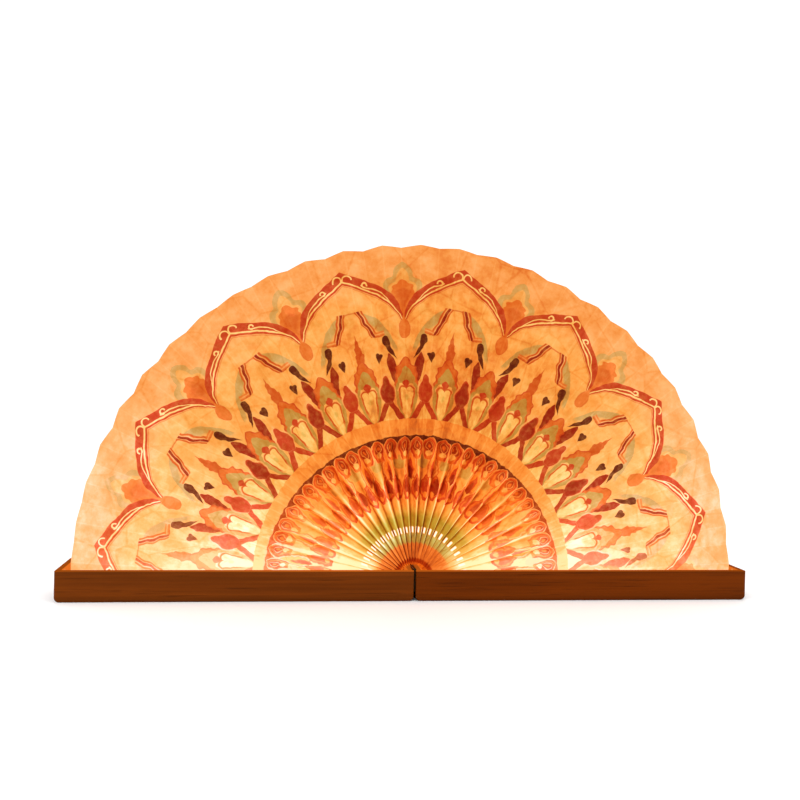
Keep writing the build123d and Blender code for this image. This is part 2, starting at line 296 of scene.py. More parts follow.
# An ink is the share of red, green and blue that it lets through; above 1 it is clearer than plain paper
INK_RED = (0.60, 0.135, 0.13)
INK_CRIMSON = (0.34, 0.055, 0.05)
INK_BROWN = (0.13, 0.042, 0.04)
INK_RUST = (0.66, 0.25, 0.14)
INK_PALMETTE = (0.74, 0.34, 0.19)
INK_ORANGE = (0.80, 0.43, 0.27)
INK_AMBER = (0.99, 0.72, 0.45)
INK_FLAME = (0.80, 0.39, 0.24)
INK_SAGE = (0.53, 0.86, 0.95)
INK_BAND = (0.53, 1.45, 2.5)
INK_GREEN = (0.62, 0.82, 0.98)
INK_MOSS = (0.56, 0.70, 0.60)
INK_OLIVE = (0.45, 0.82, 0.46)
INK_CREAM = (1.03, 1.45, 1.9)
INK_PALE = (1.0, 1.22, 1.35)
INK_PINK = (0.98, 1.0, 1.3)
INK_HUB = (0.92, 0.93, 1.4)
# The slots' light, painted on the paper like a clear ink
PAINTED_SLOT_LIGHT = (1.1, 1.15, 1.7)
INK_FADED_BORDER = (0.74, 0.26, 0.16)
PLAIN_RING = (0.995, 0.80, 0.60)
PLAIN_RING_FOLDS = (0.82, 0.80, 0.76)
NO_INK = (1.0, 1.0, 1.0)
# Strong light turns inks to orange: their colours are raised to these powers
WARMING_POWERS = (0.45, 0.88, 1.18)
# The paper's own surface, which the room's light falls on
DAYLIT_PAPER = (0.055, 0.024, 0.007)

# How lit paper looks from dim to bright, flat and in the deep folds, which throw light back and forth
LIT_PAPER = [
    (0.00, (0.10, 0.010, 0.001)),
    (0.20, (0.36, 0.045, 0.004)),
    (0.40, (0.78, 0.175, 0.014)),
    (0.52, (0.91, 0.31, 0.046)),
    (0.62, (0.98, 0.40, 0.086)),
    (0.76, (1.22, 0.53, 0.160)),
    (0.88, (1.45, 0.70, 0.30)),
    (1.00, (1.80, 0.94, 0.55)),
]
LIT_FOLDS = [
    (0.00, (0.10, 0.010, 0.001)),
    (0.20, (0.40, 0.045, 0.004)),
    (0.40, (0.88, 0.170, 0.012)),
    (0.52, (1.08, 0.30, 0.036)),
    (0.62, (1.24, 0.40, 0.068)),
    (0.76, (1.42, 0.53, 0.130)),
    (0.88, (1.60, 0.70, 0.26)),
    (1.00, (1.80, 0.94, 0.52)),
]


class Print:
    """The shade's print: layers of ink over plain paper, in polar coordinates kept in the UV map.

    Radii, widths and soft edges are in millimetres. A shape's points are (share of its height,
    share of its half-width), from its low radius to its high one.
    """

    def __init__(self, name, hand_waver=HAND_WAVER):
        self.material, self.tree, self.shader = new_material(name, roughness=0.85)
        uv = self.tree.nodes.new("ShaderNodeUVMap")
        uv.uv_map = "polar"
        split = self.tree.nodes.new("ShaderNodeSeparateXYZ")
        connect(self.tree, uv.outputs[0], split.inputs[0])
        self.uv = uv.outputs[0]
        self.true_angle = Field(self.tree, split.outputs[0]) * 180.0
        self.true_r = Field(self.tree, split.outputs[1]) * PRINT_REACH
        self.arc = self.true_r * (math.pi / 180)
        waver = noise(self.tree, self.uv, 26.0, 2.0, 0.5, (2.1, 1.0, 1.0)) - 0.5
        drift = noise(self.tree, self.uv, 31.0, 2.0, 0.5, (2.1, 1.0, 1.0)) - 0.5
        self.r = self.true_r + waver * hand_waver
        self.angle = self.true_angle + drift * hand_waver / self.arc
        self.ink = NO_INK

    def lower_centre(self, share):
        """Draws what follows round a slightly lower centre, by a share of the radius."""
        turn = self.true_angle * (math.pi / 180)
        self.angle = self.angle + turn.math("COSINE") * (share * 180 / math.pi)
        self.r = self.r * (turn.math("SINE") * share + (1.0 - share))

    def lay(self, mask, ink):
        self.ink = mix_colour(self.tree, self.ink, ink, mask)

    def window(self, low, high, soft=0.6):
        return (self.r - low).above(soft) * (high - self.r).above(soft)

    def inside(self, x, low, high, width, points, soft):
        """How far inside a shape with a half-width given by listed points between two radii; negative
        outside.
        """
        return self.r.profile(low, high, points) * (width + soft) - (x + soft)

    def shape(self, x, low, high, width, points, ink, strength=1.0, soft=0.6):
        """A filled shape, symmetric about x = 0."""
        mask = self.inside(x, low, high, width, points, soft).above(soft)
        if points[0][1] > 0 or points[-1][1] > 0:
            mask = mask * self.window(low, high, soft)
        self.lay(mask * strength if strength < 1.0 else mask, ink)

    def outline(self, x, low, high, width, points, thick, ink, strength=1.0, soft=0.5):
        """The inner edge of such a shape, drawn as a line."""
        depth = self.inside(x, low, high, width, points, soft) - thick / 2
        mask = (thick / 2 - abs(depth)).above(soft) * self.window(low, high, soft)
        self.lay(mask * strength if strength < 1.0 else mask, ink)

    def ring(self, x, x0, r0, radius, thick, ink, keep, soft=0.5):
        """A ring, drawn only where keep is 1."""
        dx = x - x0
        dy = self.r - r0
        distance = (dx * dx + dy * dy).math("SQRT")
        self.lay((thick / 2 - abs(distance - radius)).above(soft) * keep, ink)

    def disc(self, x, x0, r0, half_x, half_r, ink, soft=0.5):
        dx = (x - x0) / half_x
        dy = (self.r - r0) / half_r
        inside = (1.0 - (dx * dx + dy * dy).math("SQRT")) * min(half_x, half_r)
        self.lay(inside.above(soft), ink)

    def finish(self, light, wash, lit_paper):
        """Backlit colour: the light through plain paper, coloured by the ink.

        The wash is strong light, in which ink pales and turns to orange.
        """
        tree, shader = self.tree, self.shader
        worn = noise(tree, self.uv, 55.0, 4.0, 0.65, (2.1, 1.0, 1.0)).ramp(0.40, 0.75)
        ink = self.ink
        faded = worn * 0.18
        if wash is not None:
            warmed = tree.nodes.new("ShaderNodeVectorMath")
            warmed.operation = "POWER"
            connect(tree, ink, warmed.inputs[0])
            warmed.inputs[1].default_value = WARMING_POWERS
            ink = mix_colour(tree, ink, warmed.outputs[0], (wash * 0.5).math("MINIMUM", 1.0))
            faded = faded + wash * 0.14
        ink = mix_colour(tree, ink, NO_INK, faded.math("MINIMUM", 1.0))
        lit = colour_ramp(tree, light, lit_paper)
        glow = mix_colour(tree, lit, ink, 1.0, "MULTIPLY")
        set_glow(tree, shader, glow, 1.0)
        surface = mix_colour(tree, DAYLIT_PAPER, ink, 1.0, "MULTIPLY")
        connect(tree, surface, shader.inputs["Base Color"])
        shader.inputs["Specular IOR Level"].default_value = 0.05
        return self.material


def pleat_share(angle):
    """Runs from 0 at one trough fold, over the crest at a half, to 1 at the next trough."""
    return (angle * (PLEATS / 180.0)).math("FRACT")


def tray_angle(angle):
    """Degrees above the nearer tray."""
    return angle.math("MINIMUM", 180.0 - angle)


def rise(p):
    """Runs from 0 along the trays to 1 at the crown."""
    return (tray_angle(p.true_angle) * (math.pi / 180)).math("SINE")


def glow_over_trays(p, reach):
    """The strong light just over the trays' light bars."""
    return (p.true_r * rise(p)).bell(reach)


def outer_light(p):
    """How brightly the outer zone is lit: most beside the trays, least at the crown."""
    near = tray_angle(p.true_angle)
    out = p.true_r.ramp(130, 270)
    side = near.bell(out * 12.0 + 30.0) * (0.34 - out * 0.10)
    dim = (p.true_angle - 110.0).bell(16.0) * 0.05
    hot = glow_over_trays(p, 24.0) * (1.0 - p.true_r.ramp(190, 262) * 0.85) * 0.185
    inner = near.bell(65.0) * (1.0 - p.true_r.ramp(150, 222)) * 0.145
    return out * 0.13 + 0.455 + side + inner + hot - dim


def panel_shade(p, strength):
    """Each panel is a little lighter or darker than the next, with a thin line at each fold."""
    panel = p.true_angle * (2 * PLEATS / 180.0)
    index = panel.math("FLOOR")
    even = (index * 0.5).math("FRACT") * 2.0 - 0.5
    uneven = (index * UNEVEN_STEP).math("SINE")
    from_fold = 0.5 - abs(panel.math("FRACT") - 0.5)
    crease = (0.5 - from_fold * (90.0 / PLEATS) * p.arc).above(0.9)
    sway = (from_fold * 2.0 - 0.5) * even
    return even * strength + uneven * (strength * 0.6) + sway * strength + crease * (strength * 1.4)


def fibre(p, strength):
    """Clouds and long fibres in hand-made paper, and painted shade of soft wrinkles."""
    broad = noise(p.tree, p.uv, 9.0, 3.0, 0.55, (2.4, 1.0, 1.0)) - 0.5
    cloudy = noise(p.tree, p.uv, 24.0, 5.0, 0.62, (2.2, 0.8, 1.0)) - 0.5
    fine = noise(p.tree, p.uv, 90.0, 3.0, 0.7, (2.1, 0.7, 1.0)) - 0.5
    cells = p.tree.nodes.new("ShaderNodeTexVoronoi")
    cells.feature = "DISTANCE_TO_EDGE"
    cells.inputs["Scale"].default_value = 9.0
    stretch = p.tree.nodes.new("ShaderNodeMapping")
    stretch.inputs["Scale"].default_value = (2.4, 0.8, 1.0)
    stretch.inputs["Rotation"].default_value = (0.0, 0.0, 0.5)
    connect(p.tree, p.uv, stretch.inputs["Vector"])
    connect(p.tree, stretch.outputs[0], cells.inputs["Vector"])
    # Painted shade: thin darker lines of wrinkles that the shade's shape does not have.
    wrinkle_shade = (0.014 - Field(p.tree, cells.outputs["Distance"])).above(0.03)
    patches = cloudy.ramp(-0.14, 0.14) - 0.5
    return (broad * 3.0 + patches * 1.5 + fine * 2.6 - wrinkle_shade * 0.9) * strength


def stain(p):
    """Hand-made paper is greener and greyer in some patches and pinker in others."""
    green = noise(p.tree, p.uv, 17.0, 4.0, 0.6, (2.9, 1.1, 1.0)).ramp(0.48, 0.66)
    pink = noise(p.tree, p.uv, 12.0, 4.0, 0.6, (1.9, 1.3, 1.0)).ramp(0.52, 0.70)
    p.lay(green * 0.5, (0.86, 0.95, 0.92))
    p.lay(pink * 0.45, (0.98, 0.88, 1.05))


def lobe_border(p, whole, x_lobe):
    """The red border along each pointed lobe, with cream lines and curls in it."""
    share = whole / (LOBE_PERIOD / 2)
    outer_edge = LOBE_TIP - whole * 2.5 - (share ** 10.0) * 18.0
    inner_edge = LOBE_INSIDE - whole * 2.45 - (share ** 6.0) * 13.0
    from_outer = outer_edge - p.r
    from_inner = p.r - inner_edge
    above_foot = (p.r - LOBE_FOOT).above()
    within = from_outer.above() * above_foot
    p.lay((from_outer - 0.3).above() * (from_inner + 1.4).above() * above_foot, INK_RED)
    p.lay((from_inner - 3.2).above(2.0) * (from_outer - 1.5).above(2.0) * within * 0.2, INK_CRIMSON)
    p.lay((0.75 - abs(from_inner - 1.3)).above() * within, INK_CREAM)
    p.lay((0.4 - abs(from_inner + 2.4)).above() * above_foot * 0.6, INK_RUST)
    vine = whole.profile(3.4, 9.6, [(0, 0.62), (0.12, 0.6), (0.35, 0.86), (0.55, 0.84), (0.75, 0.5),
                                    (0.9, 0.1), (1, 0)])
    strand = (whole - 3.4).above(0.1) * (9.6 - whole).above(0.1) * within
    p.lay((0.55 - abs(from_inner - vine * 4.2 - 1.3)).above() * strand, INK_CREAM)
    for x0, r0, radius, stem in ((4.2, 266.0, 3.7, 0.0), (18.8, 258.9, 2.0, 18.8)):
        hook = (p.r - (r0 - 0.9)).above().math("MAXIMUM", (stem - x_lobe).above())
        p.ring(x_lobe, x0, r0, radius, 1.25, INK_CREAM, keep=hook)


def canopy(p, whole, x_lobe):
    """Inside each lobe: a pale green arch, wavy ribbons, dark commas, hearts and a spire."""
    bulge = whole * whole
    arch = 237.5 - bulge * 0.28 - bulge * bulge * 0.0012
    inside = arch - p.r
    arch_mask = inside.above(1.2) * (9.5 - inside).above(3.5) * whole.ramp(1.6, 2.6)
    p.lay(arch_mask * (p.r - 200.0).above(4.0), INK_GREEN)
    p.lay((0.6 - abs(inside - 0.6)).above() * (2.6 - whole).above(0.4) * 0.7, INK_RUST)
    drop = 237.0 - p.r
    middle = drop * (drop * 0.0085 + 0.2) + 8.0 + (p.r * 0.55).math("SINE") * 0.4
    across = x_lobe - middle
    part = p.window(213.0, 237.5)
    p.lay((3.0 - abs(across)).above() * part, INK_ORANGE)
    p.lay((1.9 - abs(across)).above() * part, INK_PINK)
    for offset, thick, ink in ((-2.9, 0.6, INK_RUST), (-0.3, 1.2, INK_CRIMSON), (2.9, 0.8, INK_RUST)):
        p.lay((thick - abs(across - offset)).above() * part, ink)
    foot = p.r - 215.0 - (x_lobe - 17.0) * 0.16
    reach = (x_lobe - 17.0).above() * (25.5 - x_lobe).above()
    p.lay((2.0 - abs(foot)).above(0.8) * reach * 0.85, INK_ORANGE)
    p.lay((0.5 - abs(foot)).above() * reach * 0.7, INK_PINK)
    p.lay((0.5 - abs(foot + 1.9)).above() * reach * 0.8, INK_RUST)

    fall = 209.5 - p.r
    comma = [(0, 0.0), (0.2, 0.4), (0.4, 0.72), (0.55, 0.66), (0.74, 1.0), (0.92, 0.86), (1, 0)]
    x_comma = abs(x_lobe - fall * fall * 0.020 - 25.2)
    p.lay(p.inside(x_comma, 190, 213.5, 3.2, comma, 0.6).above(), INK_BROWN)
    tilted = x_lobe - (p.r - 192.0) * 0.16
    p.disc(tilted, 14.4, 196.6, 1.8, 2.1, INK_BROWN)
    p.disc(tilted, 17.1, 196.0, 2.0, 1.8, INK_BROWN)
    heart = [(0, 0), (0.3, 0.42), (0.6, 0.8), (0.85, 1.0), (1, 0.8)]
    p.shape(abs(tilted - 15.7), 188.0, 197, 3.1, heart, INK_BROWN)
    spire = [(0, 0.55), (0.14, 0.72), (0.26, 0.86), (0.37, 1.0), (0.43, 0.74), (0.56, 0.72), (0.62, 0.5),
             (0.74, 0.42), (0.8, 0.24), (0.93, 0.14), (1, 0)]
    p.shape(x_lobe, 188, 219, 4.4, spire, INK_RUST)


def drops(p, x_drop, x_leaf, x_gap):
    """The row next to the rosette: palmettes over cream drops, and crimson leaves on forked legs."""
    sickle = [(0, 0.5), (0.3, 0.85), (0.62, 1.0), (0.85, 0.6), (1, 0)]
    x_sickle = abs(x_gap - 12.6 + (190.0 - p.r) * 0.22)
    p.lay(p.inside(x_sickle, 170, 198.5, 3.9, sickle, 0.6).above(), INK_CRIMSON)
    palmette = [(0, 0.9), (0.2, 1.0), (0.32, 0.86), (0.42, 0.92), (0.56, 0.8), (0.66, 0.84), (0.76, 0.52),
                (0.9, 0.36), (1, 0)]
    p.shape(x_drop, 165, 194, 10.8, palmette, INK_PALMETTE)
    p.outline(x_drop, 165, 194, 10.8, palmette, 1.2, INK_RED, 0.7)
    moss = [(0, 1.0), (0.3, 0.95), (0.45, 0.98), (0.62, 0.72), (0.8, 0.5), (0.92, 0.3), (1, 0)]
    p.shape(x_drop, 165, 186, 7.7, moss, INK_MOSS)

    skin = [(0, 0.0), (0.1, 0.36), (0.36, 0.72), (0.62, 0.94), (0.78, 1.0), (0.92, 0.94), (1, 0.7)]
    p.shape(x_drop, 137, 171.5, 10.2, skin, INK_MOSS)
    cream = [(0, 0.1), (0.08, 0.36), (0.3, 0.68), (0.6, 0.9), (0.8, 1.0), (0.93, 0.94), (1, 0.7)]
    p.shape(x_drop, 138.5, 170.5, 7.0, cream, INK_PALE)
    pale = p.inside(x_drop, 140, 167.5, 5.3, cream, 1.2).above(1.2) * p.window(140, 167.5, 1.2)
    p.lay(pale * (0.55 - glow_over_trays(p, 42.0) * 0.5), INK_CREAM)
    p.shape(x_drop, 155, 161, 1.4, [(0, 0.0), (0.5, 1.0), (1, 0)], INK_OLIVE, 0.4, 1.5)
    # its red edge: an arch over each half, running down either side
    over = (p.r - 164.4).above()
    p.ring(x_drop, 2.9, 164.4, 4.6, 0.9, INK_PINK, over)
    p.ring(x_drop, 2.9, 164.4, 3.5, 1.5, INK_RUST, over)
    edge = abs(x_drop - 6.4 + (164.4 - p.r) * 0.14)
    p.lay((0.7 - edge).above() * (164.4 - p.r).above() * (p.r - 147.0).above(5.0), INK_RUST)
    p.shape(x_drop, 166.0, 174.0, 3.0, [(0, 0.0), (0.35, 0.7), (0.6, 1.0), (0.85, 0.7), (1, 0)], INK_RED)

    number = ((p.true_angle - LOBE_START) / (LOBE_PERIOD / 2)).math("FLOOR")
    alternate = number.math("FLOORED_MODULO", 2.0)
    p.shape(x_leaf, 138.5, 155, 7.4, [(0, 1.0), (0.5, 0.5), (1, 0.0)], INK_PALE)
    legs = (2.5 - abs(x_leaf - (157.5 - p.r) * 0.52)).above() * p.window(139.5, 160.0)
    p.lay(legs, INK_RED)
    leaf = [(0, 0.5), (0.14, 0.78), (0.32, 1.0), (0.5, 0.98), (0.62, 0.78), (0.74, 0.56), (0.86, 0.5),
            (0.95, 0.34), (1, 0)]
    p.shape(x_leaf, 154, 181, 7.2, leaf, INK_PINK, 0.8)
    p.shape(x_leaf, 154, 178.5, 6.1, leaf, INK_RED)
    dark = p.inside(x_leaf, 154, 177, 5.3, leaf, 0.6).above(1.2) * p.window(154, 177, 2.0)
    p.lay(dark.math("MAXIMUM", legs * 0.7) * (0.85 - alternate * 0.7), INK_CRIMSON)


def outer_print():
    """Pointed lobes with a red border, and inside each one a canopy, a spire and palmettes."""
    p = Print("printed_paper_outer")
    whole = wrap_distance(p.angle, LOBE_START, LOBE_PERIOD)
    half = wrap_distance(p.angle, LOBE_START, LOBE_PERIOD / 2)
    x_lobe = whole * p.arc
    x_gap = (LOBE_PERIOD / 2 - whole) * p.arc
    x_drop = half * p.arc
    x_leaf = (LOBE_PERIOD / 4 - half) * p.arc

    stain(p)
    # rim: slightly pinker paper with a pale green leaf behind each gap between lobes
    p.lay(p.r.ramp(236, 272) * 0.9, (0.95, 0.88, 1.08))
    trefoil = [(0, 0.5), (0.22, 0.95), (0.36, 1.0), (0.5, 0.86), (0.58, 0.55), (0.72, 0.5), (0.88, 0.34),
               (1, 0)]
    p.shape(x_gap, 246, 276.5, 17.0, trefoil, INK_GREEN, 0.85)
    p.shape(x_gap, 244, 271.5, 12.0, trefoil, NO_INK, 0.75, 1.2)
    palmette = [(0, 0.34), (0.2, 0.42), (0.38, 0.6), (0.52, 0.9), (0.64, 1.0), (0.74, 0.84), (0.8, 0.9),
                (0.88, 0.48), (0.94, 0.38), (1, 0)]
    p.shape(x_gap, 229, 261.5, 10.2, palmette, INK_ORANGE)
    blush = [(0, 0.2), (0.4, 0.6), (0.72, 1.0), (0.88, 0.5), (1, 0)]
    p.shape(x_gap, 232, 256, 6.4, blush, INK_RUST, 0.6, 3.0)

    lobe_border(p, whole, x_lobe)
    drop = [(0, 0.0), (0.08, 0.6), (0.28, 0.94), (0.48, 1.0), (0.68, 0.8), (0.84, 0.4), (1, 0.25)]
    p.shape(x_gap, 209.5, 230, 4.8, drop, INK_ORANGE)
    drop_edge = [(0, 0.0), (0.1, 0.6), (0.34, 0.94), (0.6, 1.0), (0.85, 0.8), (1, 0.6)]
    p.outline(x_gap, 209.5, 226, 5.2, drop_edge, 0.9, INK_RUST, 0.5)
    canopy(p, whole, x_lobe)
    drops(p, x_drop, x_leaf, x_gap)

    # plain ring round the rosette
    p.lay((PLAIN_RING_EDGE - p.r).above(), PLAIN_RING)

    hot = glow_over_trays(p, 42.0) * (2.1 - p.true_r.ramp(200, 280) * 1.1)
    light = outer_light(p) + panel_shade(p, 0.05 - p.r.ramp(134, 146) * 0.018) + fibre(p, 0.085)
    return p.finish(light, hot, LIT_PAPER)


def rosette_light(p):
    """The deep folds near the hub: bright on each crest's side towards the nearer tray, darker between."""
    near = tray_angle(p.true_angle)
    side = near.bell(46.0)
    share = pleat_share(p.true_angle)
    lean = p.true_angle.ramp(58, 74) * 0.40 - 0.20
    streak = (share - 0.5 - lean).bell(0.17)
    deep = 1.0 - p.true_r.ramp(70, 132)
    inner = 1.0 - p.true_r.ramp(30, 40)
    hot = glow_over_trays(p, 24.0) * p.true_r.ramp(26, 50) * 0.40
    groove = abs(share - 0.5).ramp(0.28, 0.5)
    band = p.true_r.ramp(50, 62) * (1.0 - p.true_r.ramp(76, 90))
    lift = (side * 0.35 + 0.13) * (p.true_r.ramp(20, 46) * 0.8 + 0.2) + band * 0.06
    on_streak = streak * (deep * 0.32 + side * 0.08 + 0.05) * (1.0 - inner * 0.7)
    fold_light = on_streak - groove * (deep * 0.22 + 0.05)
    index = (p.true_angle * (2 * PLEATS / 180.0)).math("FLOOR")
    uneven = (index * UNEVEN_STEP).math("SINE") * 0.03
    under_border = p.true_r.ramp(104, 118) * near.ramp(35, 75) * 0.05
    return lift + hot + fold_light + uneven + 0.30 - under_border


def rosette_print():
    """Scalloped petals, a second row with green between, red ovals, an olive band and the hub."""
    p = Print("printed_paper_rosette", FOLD_WAVER)
    p.lower_centre(ROSETTE_DROP)
    petal = wrap(p.angle, PETAL_START, PETAL_PERIOD)
    number = (p.angle - petal) / PETAL_PERIOD
    sway = (number * 2.4).math("SINE")
    pair = wrap_distance(p.angle, PETAL_START + 1.5 * PETAL_PERIOD, 2 * PETAL_PERIOD)
    x_petal = abs(petal) * p.arc
    x_core = abs(petal * p.arc - sway * 0.9)
    x_second = pair * p.arc
    x_green = (PETAL_PERIOD - pair) * p.arc
    near = tray_angle(p.true_angle)
    inner_bands(p, near)

    # red ovals, some of them much darker than others
    oval = [(0, 0.3), (0.12, 0.7), (0.35, 1.0), (0.65, 0.86), (0.88, 0.5), (1, 0)]
    p.shape(x_petal, 68.5, 92, 3.6, oval, INK_RED)
    p.outline(x_petal, 71, 90, 2.7, oval, 0.7, INK_FLAME)
    core = p.inside(x_core, 73, 89.5, 1.9, oval, 0.6).above() * p.window(73, 89.5)
    p.lay(core * (sway * 0.35 + 0.6), INK_CRIMSON)
    p.shape(x_petal, 71.0, 76, 1.2, [(0, 0.0), (0.5, 1.0), (1, 0)], INK_AMBER, 0.8)

    # second row of petals, with green between them
    p.shape(x_green, 96.5, 108.5, 3.9, [(0, 0.5), (0.2, 0.95), (0.7, 1.0), (1, 0.6)], INK_SAGE, 0.8, 1.5)
    second = [(0, 0.75), (0.3, 1.0), (0.5, 0.9), (0.75, 0.66), (0.92, 0.36), (1, 0.0)]
    p.shape(x_second, 88, 116, 4.9, second, INK_RUST, 0.85)
    p.outline(x_second, 89, 114.8, 4.1, second, 0.8, INK_PINK, 0.9)
    p.shape(x_second, 90, 113, 3.1, second, INK_AMBER)
    p.shape(x_second, 88, 106, 1.8, [(0, 0.5), (0.4, 1.0), (0.7, 0.7), (1, 0)], INK_RED)
    p.shape(x_second, 86, 98, 1.2, [(0, 0.3), (0.5, 1.0), (1, 0)], INK_CRIMSON)

    # dark border behind a scalloped row of petals, redder where the light is strong
    faded = near.bell(34.0) * 0.8
    behind = (p.r - 115.0).above(1.5)
    p.lay(behind, INK_BROWN)
    p.lay(behind * faded, INK_FADED_BORDER)
    arch = [(0, 0.66), (0.3, 0.84), (0.55, 1.0), (0.75, 0.97), (0.88, 0.74), (0.96, 0.42), (1, 0.0)]
    eye = [(0, 0.0), (0.2, 0.55), (0.5, 1.0), (0.8, 0.85), (0.95, 0.45), (1, 0)]
    p.shape(x_petal, 104.5, 123.8, 5.5, arch, INK_FLAME, 0.9)
    p.outline(x_petal, 104.5, 123.8, 5.5, arch, 0.7, INK_PINK, 0.9)
    p.outline(x_petal, 105.5, 122.4, 4.5, arch, 1.1, INK_RED)
    p.shape(x_core, 108.5, 121.2, 3.3, eye, INK_CRIMSON, 0.9)
    p.shape(x_core, 106.5, 112.5, 1.8, eye, INK_CREAM, 0.8)
    p.outline(x_core, 111.0, 120.6, 2.6, eye, 0.6, INK_PINK, 0.8)
    p.shape(x_core, 113.5, 118.0, 0.9, eye, INK_FLAME)

    p.lay((p.r - ROSETTE_PRINT_EDGE).above(), PLAIN_RING_FOLDS)

    # slots through the folds, where the lamps shine straight out, painted on the paper as brighter light
    share = pleat_share(p.true_angle)
    from_panel_middle = abs(abs(share - 0.5) - 0.27)
    slot_height = (SLOT_HALF_HEIGHT - abs(hub_radius(p) - SLOT_RADIUS)).above(1.2)
    slot = slot_height * (0.085 - from_panel_middle).above(0.06)
    p.lay(slot, PAINTED_SLOT_LIGHT)
    deep = rosette_light(p)
    flat = outer_light(p) + panel_shade(p, 0.05)
    light = deep + (flat - deep) * p.r.ramp(122, 126)
    washed = (near - 32.0).bell(20.0) * p.r.ramp(66, 74) * (1.0 - p.r.ramp(112, 122))
    wash = glow_over_trays(p, 26.0) + washed * 1.9
    # The slots are painted brighter in the light as well.
    return p.finish(light + fibre(p, 0.08) + slot * 0.7, wash, LIT_FOLDS)


def hub_radius(p):
    """Radius for the bands next to the hub, which are a little wider than they are high."""
    return p.true_r * (rise(p) * HUB_DROP + (1.0 - HUB_DROP))


def inner_bands(p, near):
    """Next to the hub: an olive band, a pale ring, and the orange hub with a dark mouth."""
    r = hub_radius(p)
    crown = near.ramp(15, 44) * 0.8 + 0.2
    p.lay((r - 39.0).above(3.0) * (60.0 - p.r).above(12.0) * crown, INK_OLIVE)
    p.lay((r - 30.0).above(1.5) * (39.5 - r).above(3.0) * crown, INK_BAND)
    p.lay((30.8 - r).above(2.0), INK_HUB)
    p.lay((17.6 - p.true_r).above(1.6), INK_CRIMSON)
    p.lay((13.6 - p.true_r).above(1.0), INK_AMBER)


def rim_print():
    """The plain closed edge round the outside of the shade."""
    p = Print("plain_paper_rim")
    near = tray_angle(p.true_angle)
    light = near.bell(45.0) * 0.22 + 0.56
    return p.finish(light + panel_shade(p, 0.03) + fibre(p, 0.05), None, LIT_PAPER)


# ---------------------------------------------------------------- the shade's geometry

def fan_point(share, r, y):
    """A point of the open shade: share of the half turn from the left, radius, and depth."""
    angle = share * math.pi
    offset = (FOLD_BASE_Z - CENTRE_Z) * (1 - 2 * share)
    x = -math.cos(angle) * r + math.sin(angle) * offset
    z = CENTRE_Z + math.sin(angle) * r + math.cos(angle) * offset
    return Vector((x, y, z))


def section_loop():
    """Stations round the shade's section: (zone, crest radius, crest y, trough radius, trough y)."""
    corners = [
        ("rosette", HUB_MOUTH, -HUB_DEPTH, HUB_MOUTH + 0.7 * MM, -HUB_DEPTH * 0.6, 3),
        ("rosette", HUB, -CREST_DEPTHS[0], HUB + 1.5 * MM, -TROUGH_DEPTHS[0], 26),
        ("rosette", STEP_INNER, -CREST_DEPTHS[0], STEP_INNER, -TROUGH_DEPTHS[0], 4),
        ("rosette", STEP_OUTER, -CREST_DEPTHS[1], STEP_OUTER, -TROUGH_DEPTHS[1], 2),
        ("outer", ROSETTE_EDGE, -CREST_DEPTHS[1], ROSETTE_EDGE, -TROUGH_DEPTHS[1], 54),
        ("rim", RADIUS, -CREST_DEPTHS[2], RADIUS - TROUGH_INSET, -TROUGH_DEPTHS[2], 12),
        ("outer", RADIUS, CREST_DEPTHS[2], RADIUS - TROUGH_INSET, TROUGH_DEPTHS[2], 54),
        ("rosette", ROSETTE_EDGE, CREST_DEPTHS[1], ROSETTE_EDGE, TROUGH_DEPTHS[1], 2),
        ("rosette", STEP_OUTER, CREST_DEPTHS[1], STEP_OUTER, TROUGH_DEPTHS[1], 4),
        ("rosette", STEP_INNER, CREST_DEPTHS[0], STEP_INNER, TROUGH_DEPTHS[0], 26),
        ("rosette", HUB, CREST_DEPTHS[0], HUB + 1.5 * MM, TROUGH_DEPTHS[0], 3),
        ("rosette", HUB_MOUTH, HUB_DEPTH, HUB_MOUTH + 0.7 * MM, HUB_DEPTH * 0.6, 8),
    ]
    stations = []
    for i, (zone, *here, count) in enumerate(corners):
        there = corners[(i + 1) % len(corners)][1:5]
        for step in range(count):
            part = step / count
            stations.append((zone, [a + (b - a) * part for a, b in zip(here, there)]))
    return stations


def trough_pull(edge):
    """How far a trough fold is pulled in at the rim: less beside the trays, and uneven by hand."""
    near = min(edge, PLEATS - edge) * 180 / PLEATS
    return (0.35 + 0.65 * min(1.0, near / 25)) * (1 + 0.25 * math.sin(edge * 5.3))


def outwards(radius):
    """0 at the step beside the rosette and 1 at the rim."""
    return max(0.0, (radius - STEP_OUTER) / (RADIUS - STEP_OUTER))


def add_object(name, data):
    item = bpy.data.objects.new(name, data)
    bpy.context.scene.collection.objects.link(item)
    return item


